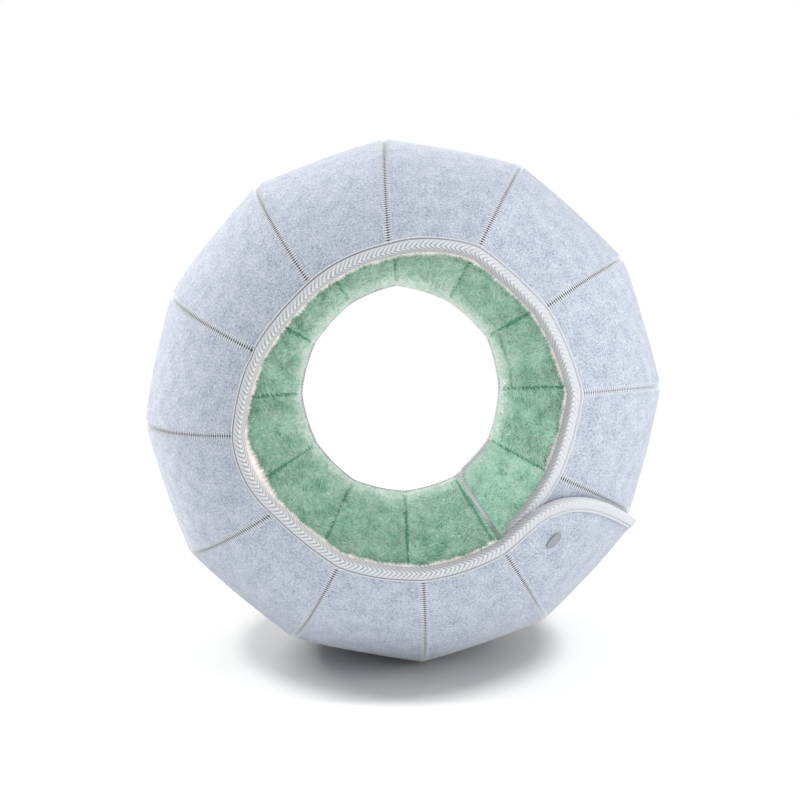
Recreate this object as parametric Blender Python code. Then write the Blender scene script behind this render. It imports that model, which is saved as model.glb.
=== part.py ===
"""Felt cat cave: a ring of curved felt facets lined with plush, its two ends lapped and snapped.

Metres, +Z up. The ring's axis runs along Y, its front opening faces -Y, and it rests on z = 0
with its middle plane at y = 0. Sizes below are in millimetres and degrees.

A place on the wall has two measures. `along` counts facets round the strip: 0 at the flap's
seam, 11 at the last plain facet's far seam, -1 at the flap's free end, 12 at the under end.
`across` runs from -1 at the front rim to 1 at the back rim. `depth` goes in from the felt's face.
"""

import math

import bmesh
import bpy
import numpy as np

MM = 0.001
RIM_FROM_MIDDLE = 162.0  # each rim's plane to the middle plane
CENTRE_HEIGHT = 221.5  # the ring's axis above the floor; what hangs lower is pressed flat
FELT = 3.0
PLUSH = 5.0  # the lining with its pile
PLUSH_IN_LAP = 3.0  # pressed between flap and under end
PLUSH_UNDER_TAPE = 2.0
GAP = 0.3  # between pieces that touch
TAPE = 0.8
TAPE_GAP = 0.45  # the tape stands this far off the cloth it wraps
TAPE_OUTSIDE = 8.0  # the binding's leg on the felt
TAPE_INSIDE = 3.0  # its leg on the lining, which the pile hides
LAP_CLEARANCE = 0.5
BACK_CROWN = 2.3  # how far a facet's back end bows out between its seams
SEAM_GAP = 0.0027  # half the gap at a butted seam, as a share of a facet's width

# One row for each seam, clockwise from the flap's. An angle is the seam's direction from +X
# toward +Z, a radius is its distance from the axis, and a crown is how far the facet that follows
# the seam bows out between its seams, at the front rim and at its middle.
SEAM_COLUMNS = (
    "front_angle", "front_radius", "middle_angle", "middle_radius",
    "back_angle", "back_radius", "front_crown", "crown",
)
SEAMS = (
    (-54.6, 115.5, -57.4, 225.5, -58.5, 110.0, 3.0, 2.0),
    (-84.2, 113.6, -86.6, 227.5, -88.5, 110.0, 2.6, 2.0),
    (-114.1, 114.0, -116.5, 227.0, -118.5, 111.0, 1.6, 2.0),
    (-143.5, 113.6, -146.4, 227.3, -149.0, 110.0, 4.0, 2.4),
    (-172.9, 119.5, -177.1, 224.5, -179.2, 110.6, 2.7, 2.0),
    (-202.6, 112.0, -206.2, 221.5, -209.3, 110.0, 2.0, 2.6),
    (-233.4, 110.0, -236.7, 225.5, -239.8, 112.4, 4.0, 1.8),
    (-263.8, 114.4, -266.2, 226.8, -267.0, 117.5, 5.0, 1.8),
    (-293.1, 122.3, -296.5, 226.8, -297.0, 112.2, 1.7, 2.0),
    (-322.0, 117.6, -326.8, 225.6, -327.2, 111.2, 3.0, 2.0),
    (-352.9, 118.3, -356.6, 222.5, -357.9, 107.0, 2.1, 1.9),
    (-382.2, 110.8, -386.5, 218.0, -388.5, 109.0, 3.0, 2.0),
)
FACETS = 11  # plain facets, between the flap and the under end

# Rounded free ends: how far the end stops short of a whole facet, where the rounding starts
# along the strip and across it, and the superellipse's power.
FLAP_END = {"short": 0.035, "starts_along": 0.0, "starts_across": 0.6, "power": 3.2}
UNDER_END = {"short": 0.07, "starts_along": 0.75, "starts_across": 0.85, "power": 2.6}

# Grid lines. Those beside the rims follow the binding's outer edge.
ACROSS = (0.08, 0.21, 0.37, 0.53, 0.69, 0.83, 0.96, 1.0)
ALONG_PLAIN = (0.0, 0.25, 0.5, 0.75, 1.0)
ALONG_BEFORE_FLOOR_SEAM = (0.0, 0.25, 0.5, 0.7, 0.85, 1.0)
ALONG_AFTER_FLOOR_SEAM = (0.0, 0.15, 0.3, 0.5, 0.75, 1.0)
ALONG_END = (0.0, 0.22, 0.46, 0.7, 0.88, 1.0)  # from the seam to the free end

SNAP_LONG, SNAP_SHORT, SNAP_THICK = 16.0, 10.5, 2.6
SNAP_ALONG, SNAP_ACROSS = -0.465, -0.835
SNAP_SIDES = 24

COLOURS = {
    "felt": (0.52, 0.56, 0.64),
    "plush": (0.26, 0.42, 0.34),
    "tape": (0.60, 0.62, 0.65),
    "snap": (0.40, 0.42, 0.45),
}


def wall_stack(plush):
    """Thickness of felt and lining together."""
    return FELT + GAP + plush


BOUND_EDGE = wall_stack(PLUSH_UNDER_TAPE)
TAPE_STAND_OFF = TAPE_GAP + TAPE
# At the lap the flap's bound edge has to clear the binding on the under end.
LAP = BOUND_EDGE + 2 * TAPE_STAND_OFF + LAP_CLEARANCE


def seam_line(number, across, depth):
    """Points in mm of one seam."""
    turns, row = divmod(number, len(SEAMS))
    seam = dict(zip(SEAM_COLUMNS, SEAMS[row]))
    twist = (seam["back_angle"] - seam["front_angle"]) / 2
    bow = (seam["back_angle"] + seam["front_angle"]) / 2 - seam["middle_angle"]
    angle = np.radians(seam["middle_angle"] - 360 * turns + twist * across + bow * across**2)
    rim = np.where(across < 0, seam["front_radius"], seam["back_radius"])
    drop = seam["middle_radius"] - rim
    arc = (drop**2 + RIM_FROM_MIDDLE**2) / (2 * drop)
    slope = across * np.arcsin(RIM_FROM_MIDDLE / arc)
    radius = seam["middle_radius"] - arc + (arc - depth) * np.cos(slope)
    forward = (arc - depth) * np.sin(slope)
    return np.stack([radius * np.cos(angle), forward, radius * np.sin(angle)], -1)


def facet_point(facet, share, across, depth):
    """Points in mm of the wall about the ring's centre, before it meets the floor."""
    start = seam_line(facet, across, depth)
    end = seam_line(facet + 1, across, depth)
    chord = start + (end - start) * share[..., None]
    angle = np.arctan2(chord[..., 2], chord[..., 0])
    out = np.stack([np.cos(angle), np.zeros_like(angle), np.sin(angle)], -1)
    front_crown, crown = SEAMS[facet % len(SEAMS)][-2:]
    rim_crown = np.where(across < 0, front_crown, BACK_CROWN)
    crown = crown + (rim_crown - crown) * np.minimum(abs(across), 1) ** 3
    return chord + (crown * 4 * share * (1 - share))[..., None] * out


def wall(facet, share, across, depth):
    """Points in mm of the standing ring, `share` of the way along one facet."""
    share, across = np.broadcast_arrays(np.asarray(share, float), np.asarray(across, float))
    if facet < 0:
        depth = depth - LAP * (1 - share)
    elif facet >= FACETS:
        depth = depth + LAP * share
    points = facet_point(facet, share, across, depth)
    points[..., 2] += CENTRE_HEIGHT
    face = facet_point(facet, share, across, 0.0)[..., 2] + CENTRE_HEIGHT
    points[..., 2] += np.maximum(-face, 0)
    return points


def lining_depths(facet, share, across):
    """Depths of the lining's two faces: thinner in the lap and under the binding."""
    into_lap = np.clip(4 * np.maximum(-(facet + share) + 0.25, facet + share - FACETS + 0.25), 0, 1)
    thick = PLUSH + (PLUSH_IN_LAP - PLUSH) * into_lap
    thick = np.where(abs(across) > ACROSS[-2] - 1e-6, PLUSH_UNDER_TAPE, thick)
    return FELT + GAP, thick


def rounded_end(outward, across, end):
    """Moves a rectangle's grid into one with a rounded free end; outward is 1 at that end."""
    beyond = np.clip((outward - end["starts_along"]) / (1 - end["starts_along"]), 0, None)
    aside = np.clip((abs(across) - end["starts_across"]) / (1 - end["starts_across"]), 0, None)
    square = np.maximum(beyond, aside)
    power = end["power"]
    round_ = (beyond**power + aside**power) ** (1 / power)
    pull = np.where(square > 0, square / np.maximum(round_, 1e-9), 1.0)
    outward = np.where(
        beyond > 0, end["starts_along"] + (1 - end["starts_along"]) * beyond * pull, outward
    )
    aside_now = end["starts_across"] + (1 - end["starts_across"]) * aside * pull
    across = np.where(aside > 0, np.sign(across) * aside_now, across)
    return outward * (1 - end["short"]), across


def material(name, roughness):
    made = bpy.data.materials.new(name)
    made.use_nodes = True
    shader = made.node_tree.nodes["Principled BSDF"]
    shader.inputs["Base Color"].default_value = (*COLOURS[name], 1.0)
    shader.inputs["Roughness"].default_value = roughness
    return made


def add_object(name, mesh_builder, surface):
    """Closes a bmesh built in mm into one named object."""
    bmesh.ops.recalc_face_normals(mesh_builder, faces=mesh_builder.faces)
    mesh = bpy.data.meshes.new(name)
    mesh_builder.to_mesh(mesh)
    mesh_builder.free()
    mesh.transform(((MM, 0, 0, 0), (0, MM, 0, 0), (0, 0, MM, 0), (0, 0, 0, 1)))
    mesh.materials.append(surface)
    mesh.shade_smooth()
    mesh.set_sharp_from_angle(angle=math.radians(40))
    made = bpy.data.objects.new(name, mesh)
    bpy.context.scene.collection.objects.link(made)
    return made


def closed_sheet(outer, inner):
    """A bmesh between two equal grids of points."""
    builder = bmesh.new()
    rows, columns = outer.shape[:2]
    layers = [
        [[builder.verts.new(grid[i, j]) for j in range(columns)] for i in range(rows)]
        for grid in (outer, inner)
    ]
    for layer in layers:
        for i in range(rows - 1):
            for j in range(columns - 1):
                builder.faces.new((layer[i][j], layer[i + 1][j], layer[i + 1][j + 1], layer[i][j + 1]))
    border = [(i, 0) for i in range(rows)] + [(rows - 1, j) for j in range(1, columns)]
    border += [(i, columns - 1) for i in range(rows - 2, -1, -1)]
    border += [(0, j) for j in range(columns - 2, 0, -1)]
    for (i, j), (k, m) in zip(border, border[1:] + border[:1]):
        builder.faces.new((layers[0][i][j], layers[0][k][m], layers[1][k][m], layers[1][i][j]))
    return builder


def across_lines():
    return np.array([-line for line in reversed(ACROSS)] + list(ACROSS))


def facet_lines(facet):
    if facet == 0:
        return np.array(ALONG_BEFORE_FLOOR_SEAM)
    if facet == 1:
        return np.array(ALONG_AFTER_FLOOR_SEAM)
    return np.array(ALONG_PLAIN)


def facet_grid(facet):
    """Shares along and places across for the grid of one facet, its flap or its under end."""
    if 0 <= facet < FACETS:
        along = facet_lines(facet) * (1 - 2 * SEAM_GAP) + SEAM_GAP
        return np.meshgrid(along, across_lines(), indexing="ij")
    outward, across = np.meshgrid(np.array(ALONG_END), across_lines(), indexing="ij")
    outward, across = rounded_end(outward, across, FLAP_END if facet < 0 else UNDER_END)
    outward = SEAM_GAP + outward * (1 - SEAM_GAP)
    return (1 - outward if facet < 0 else outward), across


def add_panels(felt, plush):
    """Each facet's felt panel and the plush panel behind it."""
    grid_across = np.meshgrid(np.array(ALONG_END), across_lines(), indexing="ij")
    for facet in range(-1, FACETS + 1):
        name = {-1: "flap", FACETS: "under_end"}.get(facet, f"facet_{facet + 1:02d}")
        share, across = facet_grid(facet)
        felt_sheet = closed_sheet(wall(facet, share, across, 0.0), wall(facet, share, across, FELT))
        add_object(f"felt_{name}", felt_sheet, felt)
        top, thick = lining_depths(facet, share, across)
        if not 0 <= facet < FACETS:
            # The grid line beside the free end keeps the thickness that the binding wraps.
            square_along, square_across = grid_across
            bound = (square_along > ALONG_END[-2] - 1e-6) | (abs(square_across) > ACROSS[-2] - 1e-6)
            thick = np.where(bound, PLUSH_UNDER_TAPE, thick)
        lining_sheet = closed_sheet(
            wall(facet, share, across, top), wall(facet, share, across, top + thick)
        )
        add_object(f"lining_{name}", lining_sheet, plush)


def edge_path():
    """The strip's edge as (facet, share, across) rows: flap, back rim, under end, front rim."""
    path = []

    def end_edge(facet, end, from_back):
        lines = across_lines()
        square = [(along, -1.0) for along in ALONG_END[:-1]] + [(1.0, line) for line in lines]
        square += [(along, 1.0) for along in ALONG_END[-2::-1]]
        for outward, across in reversed(square) if from_back else square:
            out, place = rounded_end(np.array(outward), np.array(across), end)
            share = SEAM_GAP + float(out) * (1 - SEAM_GAP)
            path.append((facet, 1 - share if facet < 0 else share, float(place)))

    end_edge(-1, FLAP_END, from_back=False)
    for facet in range(FACETS):
        for share in facet_lines(facet):
            path.append((facet, SEAM_GAP + share * (1 - 2 * SEAM_GAP), 1.0))
    end_edge(FACETS, UNDER_END, from_back=True)
    for facet in range(FACETS - 1, -1, -1):
        for share in facet_lines(facet)[::-1]:
            path.append((facet, SEAM_GAP + share * (1 - 2 * SEAM_GAP), -1.0))
    return path


def step_in(facet, share, across, inward, distance):
    """The place on the felt's face a distance in mm from another, in a given direction."""
    small = 1e-4
    here = wall(facet, share, across, 0.0)
    along_rate = (wall(facet, share + small, across, 0.0) - here) / small
    across_rate = (wall(facet, share, across + small, 0.0) - here) / small
    rates = np.stack([along_rate, across_rate], 1)
    move = np.linalg.lstsq(rates, inward * distance, rcond=None)[0]
    return share + move[0], across + move[1]


def add_binding(tape):
    """One folded tape round the whole strip's edge, wrapped over felt and lining."""
    path = edge_path()
    edge = np.array([wall(facet, share, across, 0.0) for facet, share, across in path])
    tangent = np.roll(edge, -1, 0) - np.roll(edge, 1, 0)
    builder = bmesh.new()
    rings = []
    for (facet, share, across), forward in zip(path, tangent):
        below = wall(facet, share, across, 1.0) - wall(facet, share, across, 0.0)
        inward = np.cross(below, forward)
        inward /= np.linalg.norm(inward)
        # (distance in from the edge, depth) of the tape's section, outer face then inner face
        near, far = TAPE_GAP, TAPE_STAND_OFF
        section = (
            (TAPE_OUTSIDE, -far), (-far, -far), (-far, BOUND_EDGE + far), (TAPE_INSIDE, BOUND_EDGE + far),
            (TAPE_INSIDE, BOUND_EDGE + near), (-near, BOUND_EDGE + near), (-near, -near), (TAPE_OUTSIDE, -near),
        )
        ring = []
        for distance, depth in section:
            there = step_in(facet, share, across, inward, distance)
            ring.append(builder.verts.new(wall(facet, *there, depth)))
        rings.append(ring)
    for ring, following in zip(rings, rings[1:] + rings[:1]):
        for i in range(len(ring)):
            j = (i + 1) % len(ring)
            builder.faces.new((ring[i], following[i], following[j], ring[j]))
    add_object("binding_tape", builder, tape)


def add_snap(surface):
    """The oval snap cap on the flap, a low dome over a flat back."""
    facet = -1
    share = 1 + SNAP_ALONG
    centre = wall(facet, share, SNAP_ACROSS, 0.0)
    small = 1e-3
    along = wall(facet, share + small, SNAP_ACROSS, 0.0) - wall(facet, share - small, SNAP_ACROSS, 0.0)
    across = wall(facet, share, SNAP_ACROSS + small, 0.0) - wall(facet, share, SNAP_ACROSS - small, 0.0)
    along /= np.linalg.norm(along)
    out = np.cross(along, across)
    out *= np.sign(out @ (centre - wall(facet, share, SNAP_ACROSS, 1.0))) / np.linalg.norm(out)
    aside = np.cross(out, along)
    builder = bmesh.new()
    rings = []
    # (share of the radius, share of the height) up the cap's side and over its dome
    for width, height in ((0.94, 0.0), (1.0, 0.16), (1.0, 0.38), (0.86, 0.72), (0.5, 0.95)):
        ring = []
        for i in range(SNAP_SIDES):
            turn = 2 * math.pi * i / SNAP_SIDES
            place = centre + out * (GAP + height * SNAP_THICK)
            place = place + along * width * SNAP_LONG / 2 * math.cos(turn)
            ring.append(builder.verts.new(place + aside * width * SNAP_SHORT / 2 * math.sin(turn)))
        rings.append(ring)
    for ring, following in zip(rings, rings[1:]):
        for i in range(SNAP_SIDES):
            j = (i + 1) % SNAP_SIDES
            builder.faces.new((ring[i], ring[j], following[j], following[i]))
    builder.faces.new(rings[0])
    top = builder.verts.new(centre + out * (GAP + SNAP_THICK))
    for i in range(SNAP_SIDES):
        builder.faces.new((rings[-1][i], rings[-1][(i + 1) % SNAP_SIDES], top))
    add_object("snap_cap", builder, surface)


def main():
    for old in list(bpy.data.objects):
        bpy.data.objects.remove(old, do_unlink=True)
    add_panels(material("felt", 0.95), material("plush", 1.0))
    add_binding(material("tape", 0.8))
    add_snap(material("snap", 0.45))


main()
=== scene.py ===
"""Looks of the felt cat cave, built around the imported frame.

Sizes are in millimetres and degrees unless a name says otherwise. Pieces come in the order in
which the cave is made: felt, sewing, plush, binding, snap, and then the studio round it.
"""

import math
from functools import partial

import bmesh
import bpy
import numpy as np
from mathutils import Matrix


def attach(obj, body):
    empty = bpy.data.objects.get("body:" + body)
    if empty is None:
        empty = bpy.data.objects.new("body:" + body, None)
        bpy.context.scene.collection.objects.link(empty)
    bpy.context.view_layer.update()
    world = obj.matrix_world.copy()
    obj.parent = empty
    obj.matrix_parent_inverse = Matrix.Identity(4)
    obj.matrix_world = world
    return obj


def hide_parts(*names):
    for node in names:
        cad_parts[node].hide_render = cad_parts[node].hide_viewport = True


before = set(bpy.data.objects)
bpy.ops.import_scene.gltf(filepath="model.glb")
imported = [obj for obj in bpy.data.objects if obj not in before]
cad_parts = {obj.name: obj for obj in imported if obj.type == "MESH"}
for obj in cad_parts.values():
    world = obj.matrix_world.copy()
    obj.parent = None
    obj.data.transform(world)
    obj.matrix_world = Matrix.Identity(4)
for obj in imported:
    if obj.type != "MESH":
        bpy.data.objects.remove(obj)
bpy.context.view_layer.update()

# --------------------------------------
# Felt facets. Eleven gores of 3 mm pressed felt, a flap with rounded corners and the under end
# that it laps over. Each is cut flat, curves only from rim to rim, and is butted to the next.

MM = 0.001
RIM_FROM_MIDDLE = 162.0
CENTRE_HEIGHT = 221.5
FELT = 3.0
GAP = 0.3
BACK_CROWN = 2.3  # how far a facet's back end bows out between its seams
SEAM_GAP = 0.0022  # half a butted seam's gap, as a share of a facet's width
FACETS = 11
# The seams clockwise from the lower right. Each has an angle and a radius at the front rim, in
# the middle and at the back rim, and then how far the facet after it bows out at the front rim
# and in the middle.
SEAMS = (
    (-54.6, 115.5, -57.4, 225.5, -58.5, 110.0, 3.0, 2.0),
    (-84.2, 113.6, -86.6, 227.5, -88.5, 110.0, 2.6, 2.0),
    (-114.1, 114.0, -116.5, 227.0, -118.5, 111.0, 1.6, 2.0),
    (-143.5, 113.6, -146.4, 227.3, -149.0, 110.0, 6.0, 2.4),
    (-172.9, 119.5, -177.1, 224.5, -179.2, 110.6, 2.7, 2.0),
    (-202.6, 112.0, -206.2, 221.5, -209.3, 110.0, 2.0, 2.6),
    (-233.4, 110.0, -236.7, 225.5, -239.8, 112.4, 4.0, 1.8),
    (-263.8, 114.4, -266.2, 226.8, -267.0, 117.5, 5.0, 1.8),
    (-293.1, 122.3, -296.5, 226.8, -297.0, 112.2, 1.7, 2.0),
    (-322.0, 117.6, -326.8, 225.6, -327.2, 111.2, 3.0, 2.0),
    (-352.9, 118.3, -356.6, 222.5, -357.9, 107.0, 2.1, 1.9),
    (-382.2, 110.8, -386.5, 218.0, -388.5, 109.0, 3.0, 2.0),
)
# How much each free end is cut short, where the rounding of its corners starts along the facet
# and across it, and how square that rounding is.
FLAP_END = (0.035, 0.0, 0.6, 3.2)
UNDER_END = (0.07, 0.75, 0.85, 2.6)
LAP = 8.3  # how far the flap's free edge stands off the under end's face
FACET_COLUMNS, FACET_ROWS = 30, 100
SEAM_CROWDING = 0.72  # how much closer the grid's columns stand beside a seam
FELT_SWELL = 0.55  # how unevenly a facet bulges between its seams
CLOTH_APART = 150  # between the facets' places on the pattern of the felt
STITCH_PITCH = 2.14  # of the ladder sewing, which dents the felt
PULL_STARTS = 0.05  # places across where the sewing begins to pull a seam in
FLAP_SEAM, FLAP_PULL_STARTS = 0, 0.42
SLACK_SEAM, SLACK_PULL = 10, 0.5  # at the ring's right side


def seam_line(number, across, depth):
    """Points of one seam about the ring's centre; across runs from -1 at the front rim to 1."""
    turns, row = divmod(number, len(SEAMS))
    front, front_radius, middle, middle_radius, back, back_radius = SEAMS[row][:6]
    twist = (back - front) / 2
    bow = (back + front) / 2 - middle
    angle = np.radians(middle - 360 * turns + twist * across + bow * across**2)
    drop = middle_radius - np.where(across < 0, front_radius, back_radius)
    arc = (drop**2 + RIM_FROM_MIDDLE**2) / (2 * drop)
    slope = across * np.arcsin(RIM_FROM_MIDDLE / arc)
    radius = middle_radius - arc + (arc - depth) * np.cos(slope)
    forward = (arc - depth) * np.sin(slope)
    return np.stack([radius * np.cos(angle), forward, radius * np.sin(angle)], -1)


def facet_point(facet, share, across, depth):
    """Points of a facet, `share` of the way from its own seam to the next one."""
    start = seam_line(facet, across, depth)
    end = seam_line(facet + 1, across, depth)
    chord = start + (end - start) * share[..., None]
    angle = np.arctan2(chord[..., 2], chord[..., 0])
    out = np.stack([np.cos(angle), np.zeros_like(angle), np.sin(angle)], -1)
    front_crown, crown = SEAMS[facet % len(SEAMS)][6:]
    rim_crown = np.where(across < 0, front_crown, BACK_CROWN)
    crown = crown + (rim_crown - crown) * np.minimum(abs(across), 1) ** 3
    return chord + (crown * 4 * share * (1 - share))[..., None] * out


def wall(facet, share, across, depth):
    """Points of the standing ring, depth going in from the felt's face, pressed flat below."""
    share, across, depth = np.broadcast_arrays(
        np.asarray(share, float), np.asarray(across, float), np.asarray(depth, float)
    )
    if facet < 0:
        depth = depth - LAP * (1 - share)
    elif facet >= FACETS:
        depth = depth + LAP * share
    points = facet_point(facet, share, across, depth)
    face = facet_point(facet, share, across, np.zeros_like(depth))[..., 2] + CENTRE_HEIGHT
    points[..., 2] += CENTRE_HEIGHT + np.maximum(-face, 0)
    return points


def rounded_end(outward, across, end):
    """Moves a rectangle's places into one with a rounded free end, where outward is 1."""
    short, first, outer, power = end
    beyond = np.clip((outward - first) / (1 - first), 0, None)
    aside = np.clip((abs(across) - outer) / (1 - outer), 0, None)
    square = np.maximum(beyond, aside)
    rounded = (beyond**power + aside**power) ** (1 / power)
    pull = np.where(square > 0, square / np.maximum(rounded, 1e-9), 1.0)
    outward = np.where(beyond > 0, first + (1 - first) * beyond * pull, outward)
    moved = np.sign(across) * (outer + (1 - outer) * aside * pull)
    across = np.where(aside > 0, moved, across)
    return outward * (1 - short), across


def facet_places(facet, x, y, gap):
    """Shares and places across for the points of a flat blank that runs from 0 to 1 each way."""
    share, across = x, 2 * y - 1
    if 0 <= facet < FACETS:
        return gap + share * (1 - 2 * gap), across
    outward = 1 - share if facet < 0 else share
    outward, across = rounded_end(outward, across, FLAP_END if facet < 0 else UNDER_END)
    outward = gap + outward * (1 - gap)
    return (1 - outward if facet < 0 else outward), across


def facet_width(facet, across):
    ends = [seam_line(facet + side, np.asarray(across, float), 0.0) for side in (0, 1)]
    return np.linalg.norm(ends[1] - ends[0], axis=-1)


def run_of(points):
    """Length along a line of points, up to each of them."""
    return np.concatenate([[0], np.cumsum(np.linalg.norm(np.diff(points, axis=0), axis=1))])


def seam_run(number, across):
    """Length along a seam from its front end to each place across."""
    steps = np.linspace(-1.1, 1.1, 441)
    return np.interp(across, steps, run_of(seam_line(number, steps, 0.0)))


def facet_length(facet):
    return seam_run(facet, 1.0) - seam_run(facet, -1.0)


def from_seams(facet, share, across):
    """Distance of each point from the nearer sewn seam; a free end counts as none."""
    width = facet_width(facet, across)
    start = share * width if facet >= 0 else np.full_like(width, 99.0)
    end = (1 - share) * width if facet < FACETS else np.full_like(width, 99.0)
    return np.minimum(start, end), start < end


def uneven(facet, share, across):
    """Soft unevenness of a stuffed-looking panel, from -1 to 1, none of it along a seam."""
    seed = 1.7 * facet
    along, aside = share * 2.1 + seed, across * 3.4
    swell = np.sin(2.1 * along + 1.3 * aside + seed) + np.sin(3.7 * aside - 2.9 * along + 2 * seed)
    swell = swell + 0.6 * np.sin(6.1 * aside + 3.3 * seed) * np.cos(5.2 * along)
    return swell / 2.6 * np.clip(4 * share * (1 - share), 0, 1)


def pulled_in(number, across):
    """How far the sewing pulls a seam in: fully by the rims, little at the ring's middle."""
    row = number % len(SEAMS)
    starts = np.where(row == FLAP_SEAM, FLAP_PULL_STARTS, PULL_STARTS)
    strength = np.where(row == SLACK_SEAM, SLACK_PULL, 1.0)
    return strength * np.clip((abs(across) - starts) / 0.35, 0.2, 1)


def bell(distance, width):
    """A smooth hump: 1 at no distance, and nearly nothing two widths away."""
    return np.exp(-((distance / width) ** 2))


def felt_dip(distance, pull):
    """How deep the felt's face dips: a narrow furrow at the seam in a broad shallow one."""
    return pull * (0.7 * bell(distance, 0.8) + 0.4 * bell(distance, 5.5))


def built(builder, name):
    """The mesh that a builder holds, once it is done with."""
    mesh = bpy.data.meshes.new(name)
    builder.to_mesh(mesh)
    builder.free()
    return mesh


def blank(columns, rows):
    """A flat closed panel: its face at z = 0, its back at z = -1, and the cut edge between."""
    builder = bmesh.new()
    bmesh.ops.create_grid(builder, x_segments=columns, y_segments=rows, size=0.5)
    face = builder.verts[:] + builder.edges[:] + builder.faces[:]
    copied = bmesh.ops.duplicate(builder, geom=face)["geom"]
    back = [part for part in copied if isinstance(part, bmesh.types.BMVert)]
    bmesh.ops.translate(builder, verts=back, vec=(0, 0, -1))
    faces = [part for part in copied if isinstance(part, bmesh.types.BMFace)]
    bmesh.ops.reverse_faces(builder, faces=faces)
    edges = [edge for edge in builder.edges if edge.is_boundary]
    bmesh.ops.bridge_loops(builder, edges=edges)
    bmesh.ops.translate(builder, verts=builder.verts[:], vec=(0.5, 0.5, 0))
    return built(builder, "blank")


def read_points(mesh):
    points = np.empty(len(mesh.vertices) * 3, np.float32)
    mesh.vertices.foreach_get("co", points)
    return points.reshape(-1, 3).astype(float)


def put_points(mesh, points):
    mesh.vertices.foreach_set("co", (points * MM).astype(np.float32).ravel())
    mesh.update()


def put_uv(mesh, name, per_point):
    """A UV map in metres from one pair of values for each point."""
    corners = np.empty(len(mesh.loops), np.int32)
    mesh.loops.foreach_get("vertex_index", corners)
    layer = mesh.uv_layers.new(name=name)
    layer.uv.foreach_set("vector", (per_point[corners] * MM).astype(np.float32).ravel())


def put_tone(mesh, values, name="tone"):
    """One number for each point, which its material reads."""
    layer = mesh.attributes.new(name, "FLOAT", "POINT")
    layer.data.foreach_set("value", values.astype(np.float32).ravel())


def new_object(name, data):
    """A mesh, lamp or camera that stands in the scene."""
    made = bpy.data.objects.new(name, data)
    bpy.context.scene.collection.objects.link(made)
    return made


def new_piece(name, mesh, surface):
    mesh.name = name
    mesh.materials.append(surface)
    mesh.shade_smooth()
    mesh.set_sharp_from_angle(angle=math.radians(50))
    piece = new_object(name, mesh)
    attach(piece, "root")
    return piece


def linear(hex_colour):
    """An sRGB hex colour as linear RGBA."""
    parts = [int(hex_colour[i : i + 2], 16) / 255 for i in (1, 3, 5)]
    return [c / 12.92 if c <= 0.04045 else ((c + 0.055) / 1.055) ** 2.4 for c in parts] + [1.0]


# Settings that many nodes share.
MULTIPLY, MULTIPLY_ADD = {"operation": "MULTIPLY"}, {"operation": "MULTIPLY_ADD"}
SUBTRACT = {"operation": "SUBTRACT"}
SMOOTH_STEP = {"interpolation_type": "SMOOTHSTEP"}
FLAT_NOISE = {"noise_dimensions": "2D"}
TINT = {"data_type": "RGBA", "blend_type": "MULTIPLY"}


def feed(node, **inputs):
    """Sets a node's inputs, by name or as i0, i1, to a value, an output or a node's first one."""
    for key, value in inputs.items():
        socket = node.inputs[int(key[1:]) if key[1:].isdigit() else key.replace("_", " ")]
        if isinstance(value, bpy.types.Node):
            value = value.outputs[0]
        if isinstance(value, bpy.types.NodeSocket):
            node.id_data.links.new(value, socket)
        else:
            socket.default_value = value


def add_node(tree, kind, settings=None, stops=(), **inputs):
    """One shader node with its settings, its colour stops and its inputs."""
    node = tree.nodes.new("ShaderNode" + kind)
    for key, value in (settings or {}).items():
        setattr(node, key, value)
    for _ in range(len(stops) - 2):
        node.color_ramp.elements.new(0.5)
    for place, (position, colour) in enumerate(stops):
        node.color_ramp.elements[place].position = position
        node.color_ramp.elements[place].color = linear(colour)
    feed(node, **inputs)
    return node


def new_material(name):
    """A material, what adds nodes to it, and its shader."""
    surface = bpy.data.materials.new(name)
    surface.use_nodes = True
    tree = surface.node_tree
    return surface, partial(add_node, tree), tree.nodes["Principled BSDF"]


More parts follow.
